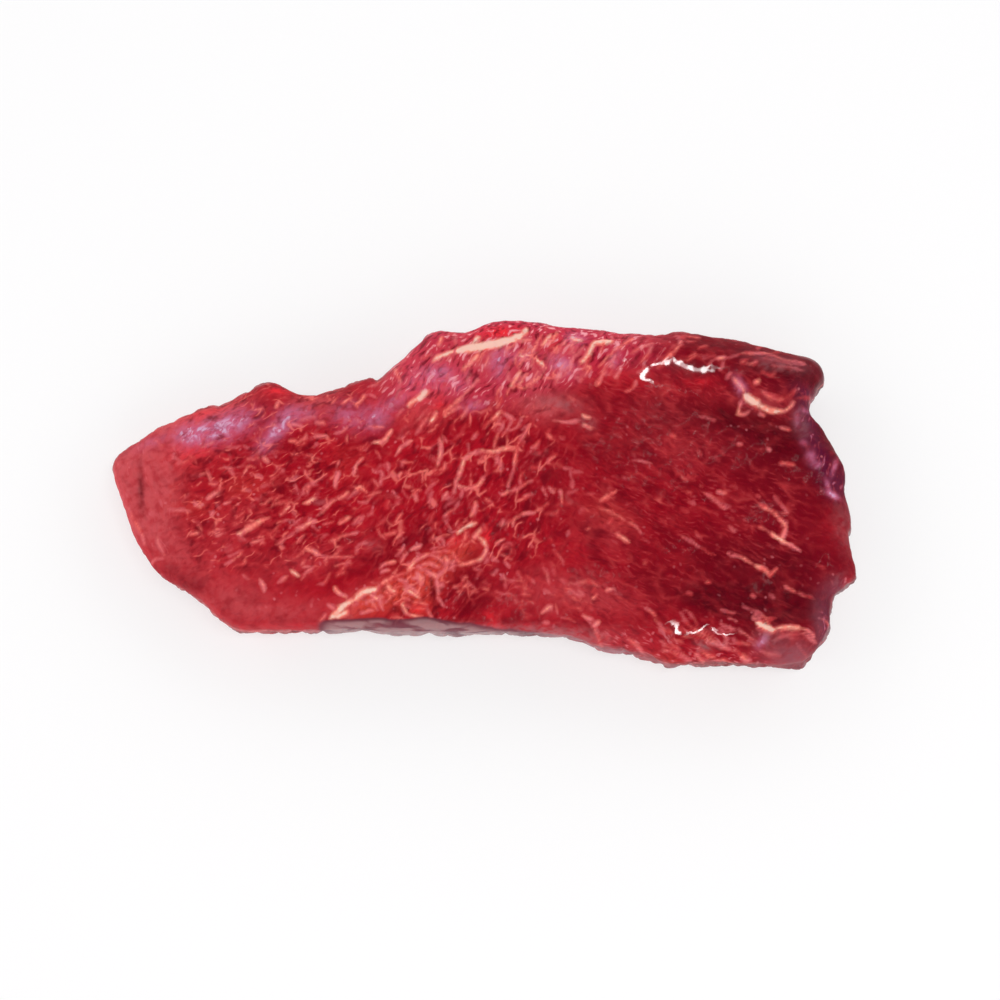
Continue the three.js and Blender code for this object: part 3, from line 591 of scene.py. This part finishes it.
# Where the zones of the cut face begin or end: each soft edge from, to, along x or across y
zones = {
    "leftEnds": (-52, -22),
    "rightBegins": (14, 44),
    "tipEnds": (-116, -98),
    "tipBegins": (94, 110),  # towards -x
    "rims": (40, 50),  # away from the middle line at rimMiddle, both ways
    "rimMiddle": 2,
    "backAlong": ((-48, -24), (48, 76)),
    "backLine": (29, 42, (10, 50)),  # across y at the left and at the right, and where it changes
    "frontBegins": ((44, 54), (34, 46)),  # towards -y, and along x
    "calmCorner": (105, -60, 13, 6),  # the front right corner, smooth and pale
}


def paintSkin():
    # every channel is worked out on the plan; a wobble of the plan keeps the strokes from looking drawn
    x, y, z = points.T
    channels = {name: sumPatches(name, x, y) for name in patches}
    wobble = [0.5 * cloud(x, y, 4.1, seed) + 0.16 * cloud(x, y, 1.6, seed + 2) for seed in (3, 4)]
    strokes = np.vstack([[(*vein, 0)[:7] for vein in veins], sowFlecks()])
    face = z > 0.5
    depth, tone = np.full(len(x), -2.0), np.zeros(len(x))
    depth[face], tone[face] = layStrokes((x + wobble[0])[face], (y + wobble[1])[face], strokes)
    depth += 0.2 * cloud(x, y, 1.9, 9) * (depth > -1.9) - 1.2 * smooth(wall, 0.5, 1)
    left, right = 1 - smooth(x, *zones["leftEnds"]), smooth(x, *zones["rightBegins"])
    edging = smooth(np.abs(y - zones["rimMiddle"]), *zones["rims"])

    atLeft, atRight, change = zones["backLine"]
    begins, ends = zones["backAlong"]
    backLine = mix(atLeft, atRight, smooth(x, *change))
    channels["back"] = smooth(y, backLine - 6, backLine + 5) * smooth(x, *begins) * (1 - smooth(x, *ends))
    across, along = zones["frontBegins"]
    channels["front"] = smooth(-y, *across) * smooth(x, *along) * (1 - blob(x, y, (106, -58, 12, 8, 0.8)))
    face = (1 - channels["back"]) * (1 - channels["front"])
    channels["left"] = face * left * smooth(x, *zones["tipEnds"]) * (1 - 0.7 * smooth(-y, 22, 36))
    channels["middle"] = face * (1 - left) * (1 - right) * (1 - 0.5 * smooth(-y, 22, 34) * smooth(x, -12, 0))
    channels["right"] = face * right * (1 - 0.6 * smooth(x, 104, 118))
    channels["tip"] = smooth(-x, *zones["tipBegins"])
    for name in ("right", "front"):
        channels[name] = channels[name] * (1 - 0.6 * channels["dark"])

    # darker towards the right; and shade is painted on the wall, most towards the broad end
    deeper = 0.16 * smooth(x, -30, 20) + 0.28 * smooth(x, 20, 60) + 0.46 * smooth(x, 60, 110)
    channels["deep"] = 0.1 + deeper * (1 - 0.3 * edging)
    wallShade = wall * (0.2 + 0.8 * smooth(x, 20, 80))
    uneven = 0.5 + 0.25 * smooth(x, 96, 112) + 0.25 * cloud(x, y, 9, 31)
    channels["dark"] = np.maximum(channels["dark"], wallShade * uneven)

    # silverskin sheathes the wall in pieces, most of it along the front and round the broad end
    sheath = smooth(-y, 38, 46) * smooth(x, -62, -40) * (1 - smooth(x, 36, 62)) + 0.15 * smooth(x, 100, 116)
    pieces = smooth(cloud(x + 0.4 * z, y, 17, 41), -0.1, 0.5) * (1 - 0.5 * smooth(x, 60, 100))
    calm = blob(x, y, (*zones["calmCorner"], 1))
    channels["skin"] = wall * np.clip(0.9 * sheath + 0.6 * pieces, 0, 1) * (1 - 0.7 * calm)

    # and along the front its upper edge shows from above, as a band
    line = 46.6 + 1.9 * smooth(x, -19, -6) + 1.2 * smooth(x, -2, 8) + 0.5 * cloud(x, 0 * y, 5, 43)
    band = smooth(-y, line - 0.5, line + 2.4) * smooth(x, -58, -50) * (1 - smooth(x, 8, 24))
    channels["band"] = band * smooth(z, 3, 10)
    channels.update(vein=depth, tone=tone, wall=wall * (1 - 0.8 * calm * smooth(z, 5, 12)))
    return channels


channels = paintSkin()
print("marbling painted:", {name: round(float(value.max()), 2) for name, value in channels.items()})

frontRidge = (75, -56.6, 6, 4, 0.9)  # a low swell under the front highlight, read like the swells above


def relief():
    # along the surface's normal: fat stands a little proud, the muscle has a low grain,
    # and the wall is creased like flesh, (1 - |cloud|)^3 deep at each crease
    x, y, z = points.T
    inner = 1 - wall
    inner[faceCount:] = 0
    fat = smooth(channels["vein"], -0.5, 0.4) * channels["tone"]
    grain = 0.14 * cloud(x + y, (y - x) * 0.45, 2.2, 21) + 0.1 * cloud(x, y, 1.7, 22)
    creased = sum(
        deep * (1 - np.abs(cloud(x + 0.5 * z, y - 0.4 * z, cell, seed))) ** 3
        for cell, deep, seed in ((9, 1.4, 23), (4.3, 0.9, 24), (2.1, 0.4, 25))
    )
    face = (0.3 * fat + grain) * (1 - channels["wet"]) + blob(x, y, frontRidge)
    return inner * face - wall * creased


def meshFrom(name, points, quads, fans, channels):
    mesh = bpy.data.meshes.new(name)
    mesh.from_pydata((points * millimetre).tolist(), [], quads.tolist() + fans.tolist())
    mesh.shade_smooth()
    normals = np.empty(3 * len(points))
    mesh.vertex_normals.foreach_get("vector", normals)
    moved = np.clip(points + normals.reshape(-1, 3) * relief()[:, None], boxLow, boxHigh)
    mesh.vertices.foreach_set("co", (moved * millimetre).ravel())
    mesh.update()
    for channel, values in channels.items():
        mesh.attributes.new(channel, "FLOAT", "POINT").data.foreach_set("value", values.astype(np.float32))
    piece = bpy.data.objects.new(name, mesh)
    bpy.context.scene.collection.objects.link(piece)
    return piece


beef = meshFrom("beef", points, quads, fans, channels)
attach(beef, "root")
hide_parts("sirloin")


# The material's nodes


def addNode(kind, inputs, **settings):
    # the new node goes into the node tree of the sockets that it is linked to
    tree = next(value.id_data for value in inputs.values() if isinstance(value, bpy.types.NodeSocket))
    node = tree.nodes.new("ShaderNode" + kind)
    for name, value in settings.items():
        setattr(node, name, value)
    for name, value in inputs.items():
        if isinstance(value, bpy.types.NodeSocket):
            tree.links.new(value, node.inputs[name])
        else:
            node.inputs[name].default_value = value
    return node


def blend(share, first, second):
    # colour mix: inputs 0, 6 and 7 of the Mix node are its factor and its two colours
    return addNode("Mix", {0: share, 6: first, 7: second}, data_type="RGBA").outputs[2]


def maths(operation, *values):
    return addNode("Math", dict(enumerate(values)), operation=operation).outputs[0]


def add(first, second):
    return maths("ADD", first, second)


def times(*values):
    product = values[0]
    for value in values[1:]:
        product = maths("MULTIPLY", product, value)
    return product


def step(value, start, stop, low=0, high=1):
    inputs = {"Value": value, "From Min": start, "From Max": stop, "To Min": low, "To Max": high}
    return addNode("MapRange", inputs, interpolation_type="SMOOTHSTEP").outputs["Result"]


def grainy(where, size, detail=2, roughness=0.5):
    # noise 0 to 1, its grains about size millimetres across
    inputs = {"Vector": where, "Scale": 1 / (size * millimetre), "Detail": detail, "Roughness": roughness}
    return addNode("TexNoise", inputs).outputs["Fac"]


def shaken(where, size, far):
    # coordinates moved up to half of far millimetres either way by a noise of that size
    inputs = {"Vector": where, "Scale": 1 / (size * millimetre), "Detail": 1}
    moved = addNode("TexNoise", inputs).outputs["Color"]
    inputs = {0: moved, 1: (far * millimetre,) * 3, 2: where}
    return addNode("VectorMath", inputs, operation="MULTIPLY_ADD").outputs[0]


def drawnOut(where, heading, long, wide=1):
    # coordinates turned to a heading in the plan, so what they drive is long times longer that way
    inputs = {"Vector": where, "Rotation": (0, 0, math.radians(heading)), "Scale": (long, wide, 1)}
    return addNode("Mapping", inputs, vector_type="TEXTURE").outputs["Vector"]


# Colours, linear
finish = {
    "muscle": (0.33, 0.003, 0.011),
    "muscleBright": (0.44, 0.006, 0.016),
    "muscleDeep": (0.205, 0.002, 0.01),
    "darkMuscleAndShade": (0.072, 0.0008, 0.0052),
    "shade": (0.145, 0.0012, 0.0075),
    "pink": (0.56, 0.076, 0.088),
    "orange": (0.64, 0.056, 0.038),
    "lilacFilmAndSheen": (0.56, 0.19, 0.33),
    "pearlFilmAndSheen": (0.72, 0.56, 0.74),
    "grey": (0.33, 0.15, 0.165),
    "rose": (0.7, 0.175, 0.205),
    "magenta": (0.55, 0.032, 0.075),
    "orchid": (0.6, 0.1, 0.19),
    "blush": (0.82, 0.31, 0.35),
    "silver": (0.23, 0.07, 0.095),
    "purpleMembraneAndShade": (0.1, 0.007, 0.034),
    "peach": (0.87, 0.27, 0.2),
    "crimson": (0.84, 0.022, 0.034),
    "fatThin": (0.56, 0.044, 0.05),
    "fatSalmon": (0.83, 0.165, 0.14),
    "fatCream": (0.86, 0.53, 0.43),
    "mauve": (0.25, 0.062, 0.08),
    "sheath": (0.31, 0.18, 0.185),
    "sheathShade": (0.13, 0.036, 0.052),
}

# What the whole surface has, by the shader's own names; roughness wanders round its value here
surface = {
    "Roughness": 0.48,
    "Coat Roughness": 0.08,
    "Coat IOR": 1.7,
    "Specular IOR Level": 0.03,
    "Subsurface Weight": 0.2,
    "Subsurface Radius": (1, 0.25, 0.15),
    "Subsurface Scale": 0.001,
}

# Nets of fat round the muscle bundles: heading in degrees, how much longer than wide a bundle is,
# its width in millimetres, the painted channel that says where, and how strong the net is
nets = [
    (30, 2.3, 3, "left", 0.42),
    (57, 2.1, 3.9, "middle", 0.46),
    (-27, 3, 4.6, "right", 0.26),
]

# Soft streaks of paler and darker flesh: heading in degrees, how much longer than wide, width in millimetres,
# the painted channel that says where, how strong the pale ones and the dark ones are, and the palest colour
streaks = [
    (26, 2.2, 1.3, "left", 0.28, 0.4, "rose"),
    (34, 1.6, 3.4, "left", 0, 0.75, "rose"),
    (56, 2.4, 1.5, "middle", 0.3, 0.45, "rose"),
    (50, 1.6, 3.8, "middle", 0, 0.75, "rose"),
    (55, 3.4, 1.8, "back", 1, 0.8, "blush"),
    (-24, 3, 1.1, "right", 0.3, 0.5, "rose"),
    (-38, 2.2, 5.5, "right", 0.16, 0.6, "fatThin"),
    (-38, 3.6, 1.6, "front", 0.6, 0.7, "rose"),
    (102, 3.4, 1.8, "tip", 0.4, 0.16, "rose"),
    (28, 2.4, 1.5, "orange", 0.4, 0.4, "fatSalmon"),
    # in these two rows the pale streaks are lilac and pearl, partly a painted sheen on silverskin
    (60, 1.7, 1.8, "lilacFilmAndSheen", 0.9, 0.1, "pearlFilmAndSheen"),
    (75, 2.2, 1.7, "purpleMembraneAndShade", 0.6, 0.2, "lilacFilmAndSheen"),
]


def makeBeefMaterial():
    material = bpy.data.materials.new("raw beef")
    material.use_nodes = True
    tree = material.node_tree
    shader = tree.nodes["Principled BSDF"]
    where = tree.nodes.new("ShaderNodeTexCoord").outputs["Object"]
    channel = {}
    for name in channels:
        attribute = tree.nodes.new("ShaderNodeAttribute")
        attribute.attribute_name = name
        channel[name] = attribute.outputs["Fac"]
    colour = {name: (*value, 1) for name, value in finish.items()}
    fine, middling, broad = (grainy(where, size) for size in (0.9, 2.6, 9))

    def over(base, share, name):
        return blend(share, base, colour[name])

    # muscle: clouds of lighter and darker red, deeper to the right
    base = blend(step(broad, 0.35, 0.68), colour["muscle"], colour["muscleBright"])
    base = over(base, channel["deep"], "muscleDeep")
    base = over(base, times(channel["back"], 0.7), "magenta")
    for name in ("pink", "orange", "crimson"):
        share = times(channel[name], step(middling, 0.25, 0.65, 0.5, 1))
        base = over(base, share, name)
    # darker muscle and painted shade, where the dark channel says
    share = times(channel["dark"], step(middling, 0.2, 0.75, 1, 0.6))
    base = over(base, share, "darkMuscleAndShade")
    # the broad end's dark purple membrane, with painted shade
    base = over(base, channel["purpleMembraneAndShade"], "purpleMembraneAndShade")
    # orchid under the lilac film and its painted sheen
    base = over(base, times(channel["lilacFilmAndSheen"], 0.8), "orchid")

    # streaks along the grain of the meat, and in every zone the one noise makes both the pale and the dark
    bent = shaken(where, 7, 5)
    height = times(middling, 0.5)
    for heading, long, size, name, pale, dark, palest in streaks:
        streak = grainy(drawnOut(bent, heading, long), size, 2, 0.45)
        share = times(step(streak, 0.5, 0.3, 0, dark), channel[name])
        base = over(base, share, "shade")
        share = times(step(streak, 0.5, 0.74, 0, pale), channel[name])
        tint = blend(step(share, 0.1, 0.6), colour["fatThin"], colour[palest])
        base = blend(share, base, tint)
        height = add(height, times(streak, channel[name], 0.9))

    # nets of fat between the bundles, soft at the edge
    near = maths("SUBTRACT", step(channel["vein"], -1.8, -0.2, 1, 1.3), channel["crimson"])
    bent = shaken(shaken(where, 6, 4), 2.2, 1.2)
    net = 0
    for heading, long, size, name, strength in nets:
        inputs = {"Vector": drawnOut(bent, heading, long), "Scale": 1 / (size * millimetre)}
        cells = addNode("TexVoronoi", inputs, feature="DISTANCE_TO_EDGE", voronoi_dimensions="2D")
        line = step(cells.outputs["Distance"], 0.22, 0)
        faint = step(grainy(where, 1.5 * size), 0.42, 0.64, 0.06 * strength, 1.4 * strength)
        net = maths("MAXIMUM", net, times(line, faint, channel[name], near))
    wallShare = channel["wall"]
    net = times(net, step(wallShare, 0.2, 0.9, 1, 0.45))
    tint = blend(step(net, 0.2, 0.7), colour["fatThin"], colour["fatSalmon"])
    base = blend(net, base, tint)

    # pale specks, a few millimetres apart, each a soft dot: partly pale dots of the flesh, partly painted
    # glints of moisture
    inputs = {"Vector": shaken(where, 5, 2), "Scale": 1 / (2.6 * millimetre)}
    dots = addNode("TexVoronoi", inputs, feature="F1", voronoi_dimensions="2D")
    chosen = addNode("SeparateColor", {0: dots.outputs["Color"]}).outputs[0]
    speckAndGlint = times(step(dots.outputs["Distance"], 0.3, 0.05), step(chosen, 0.75, 1, 0, 0.55))
    speckAndGlint = times(speckAndGlint, step(broad, 0.45, 0.62, 0, 1), step(channel["right"], 0, 1, 1, 0.4))
    base = over(base, speckAndGlint, "rose")

    # painted veins: soft at the edge, brighter and duller along the way; the tone runs from thin fat
    # through salmon to cream
    ragged = add(step(fine, 0.25, 0.75, -0.1, 0.1), step(middling, 0.3, 0.7, 0.2, -0.2))
    edge = add(channel["vein"], ragged)
    varied = step(middling, 0.3, 0.7, -0.2, 0.2)
    beads = grainy(bent, 3.4, 1)
    fat = times(step(edge, -0.95, 0.5), step(channel["tone"], 0.1, 0.5, 0.3, 1))
    beaded = maths("MAXIMUM", step(beads, 0.3, 0.5, 0.7, 1), step(channel["tone"], 0.55, 0.75))
    fat = times(fat, beaded)
    tone = add(add(channel["tone"], step(edge, -0.2, 0.7, -0.12, 0.14)), varied)
    fatColour = blend(step(tone, 0.15, 0.6), colour["fatThin"], colour["fatSalmon"])
    fatColour = over(fatColour, step(broad, 0.42, 0.6, 0, 0.5), "rose")
    fatColour = over(fatColour, step(tone, 0.5, 0.75), "peach")
    fatColour = over(fatColour, step(tone, 0.68, 0.96), "fatCream")
    fatColour = over(fatColour, step(tone, 1.2, 1.45), "pearlFilmAndSheen")
    base = blend(fat, base, fatColour)

    # films of silverskin; the lilac ones carry a painted sheen, a painted reflection of the studio light,
    # pearly in the middle of a patch as a painted highlight
    film = grainy(drawnOut(bent, 50, 1.5), 2.2)
    base = over(base, times(channel["grey"], step(film, 0.3, 0.65, 0.2, 0.9)), "grey")
    share = times(channel["lilacFilmAndSheen"], step(film, 0.32, 0.66, 0.15, 0.85))
    base = over(base, share, "lilacFilmAndSheen")
    base = over(base, step(share, 0.5, 1, 0, 0.6), "pearlFilmAndSheen")

    # the wall: long level streaks of silverskin, smears of fat and darker seams between the layers
    level = drawnOut(shaken(where, 9, 5), 0, 6, 6)
    streak, layer = grainy(level, 1.3, 3, 0.6), grainy(level, 3.2)
    seam = times(wallShare, step(layer, 0.46, 0.3, 0, 0.7))
    base = over(base, seam, "darkMuscleAndShade")
    smear = times(wallShare, step(layer, 0.58, 0.72, 0, 0.7), step(middling, 0.3, 0.6, 0.3, 1))
    base = over(base, smear, "fatSalmon")
    share = times(channel["skin"], step(streak, 0.3, 0.66, 0.25, 0.95))
    base = over(base, share, "silver")
    # and a painted highlight on the brightest streaks of silverskin
    shine = times(channel["skin"], step(streak, 0.56, 0.78, 0, 0.5))
    base = over(base, shine, "rose")

    # the front right corner's dull mauve, and the band of silverskin along the front, in slanting folds, with
    # painted shade at its upper edge and in the folds
    share = times(channel["mauve"], step(film, 0.25, 0.6, 0.6, 0.95))
    base = over(base, share, "mauve")
    folds = grainy(drawnOut(bent, -30, 3.4), 4.2, 1, 0.4)
    pale = times(step(folds, 0.34, 0.58), step(channel["band"], 0.25, 0.9))
    bandColour = blend(pale, colour["sheathShade"], colour["sheath"])
    base = blend(step(channel["band"], 0, 0.3, 0, 0.86), base, bandColour)

    # the shader: damp all over, and wet where the highlights lie
    tree.links.new(base, shader.inputs["Base Color"])
    rough = add(surface["Roughness"], step(broad, 0.3, 0.7, -0.06, 0.08))
    tree.links.new(rough, shader.inputs["Roughness"])
    coat = times(step(channel["wet"], 0.1, 0.8, 0.02, 1), step(beads, 0.4, 0.52, 0.3, 1))
    coat = maths("MAXIMUM", coat, times(wallShare, 0.35))
    tree.links.new(coat, shader.inputs["Coat Weight"])

    height = add(height, times(fine, 0.3))
    height = add(height, times(fat, 0.3))
    height = times(height, step(channel["wet"], 0, 1, 1, 0.14))
    bump = addNode("Bump", {"Strength": 0.5, "Distance": 0.0004, "Height": height})
    tree.links.new(bump.outputs["Normal"], shader.inputs["Normal"])
    for name, value in surface.items():
        shader.inputs[name].default_value = value
    return material


beef.data.materials.append(makeBeefMaterial())
print("beef dressed")


# Stage, camera and light

view = {
    "elevation": 78,
    "distance": 0.826,
    "lens": 85,
    "aim": (0.0065, -0.0036, 0.018),
    "floorReach": 3,
}


def placeCamera():
    # stands at distance * (0, -cos e, sin e) from the aim, and looks at it
    camera = bpy.data.objects.new("camera", bpy.data.cameras.new("camera"))
    camera.data.lens = view["lens"]
    e = math.radians(view["elevation"])
    x, y, z = view["aim"]
    camera.location = (x, y - view["distance"] * math.cos(e), z + view["distance"] * math.sin(e))
    camera.rotation_euler = (math.pi / 2 - e, 0, 0)
    bpy.context.scene.collection.objects.link(camera)
    bpy.context.scene.camera = camera


def placeFloor():
    # paper that glows a little, so that it comes out white under the studio's soft light
    mesh = bpy.data.meshes.new("floor")
    h = view["floorReach"]
    mesh.from_pydata([(-h, -h, 0), (h, -h, 0), (h, h, 0), (-h, h, 0)], [], [(0, 1, 2, 3)])
    floor = bpy.data.objects.new("floor", mesh)
    bpy.context.scene.collection.objects.link(floor)
    paint = bpy.data.materials.new("floor")
    paint.use_nodes = True
    paper = paint.node_tree.nodes["Principled BSDF"]
    paper.inputs["Base Color"].default_value = (0.4, 0.4, 0.4, 1)
    paper.inputs["Roughness"].default_value = 0.9
    paper.inputs["Specular IOR Level"].default_value = 0.0
    paper.inputs["Emission Color"].default_value = (1, 1, 1, 1)
    paper.inputs["Emission Strength"].default_value = 0.58
    mesh.materials.append(paint)


studio = {
    "zenith": (0.08, 0.08, 0.08),  # what the flat face mirrors
    "ring": (1.8, 1.77, 1.8),  # soft light all round, lower down
    "ringTo": 0.50,  # height of a direction, 0 level and 1 straight up, where the ring begins to fade
    "zenithFrom": 0.80,
    # a lamp near the zenith, a little to the front, gives the wet streaks
    "lampAt": (0.1, -0.14, 1),
    "lampSize": (0.5, 0.1),
    "lampPower": 2.8,
}


def placeLights():
    # the sky is a gradient on the height of the direction: ring low down, darker overhead
    world = bpy.data.worlds.new("studio")
    bpy.context.scene.world = world
    world.use_nodes = True
    tree = world.node_tree
    direction = tree.nodes.new("ShaderNodeTexCoord")
    height = addNode("SeparateXYZ", {"Vector": direction.outputs["Generated"]})
    share = step(height.outputs["Z"], studio["ringTo"], studio["zenithFrom"])
    colour = blend(share, (*studio["ring"], 1), (*studio["zenith"], 1))
    tree.links.new(colour, tree.nodes["Background"].inputs["Color"])

    data = bpy.data.lights.new("lamp", "AREA")
    data.shape = "RECTANGLE"
    data.size, data.size_y = studio["lampSize"]
    data.energy = studio["lampPower"]
    lamp = bpy.data.objects.new("lamp", data)
    lamp.location = studio["lampAt"]
    lamp.rotation_euler = (-Vector(studio["lampAt"])).to_track_quat("-Z", "Y").to_euler()
    bpy.context.scene.collection.objects.link(lamp)


placeCamera()
placeFloor()
placeLights()
bpy.context.scene.view_settings.view_transform = "Standard"
print("camera, floor and light placed")
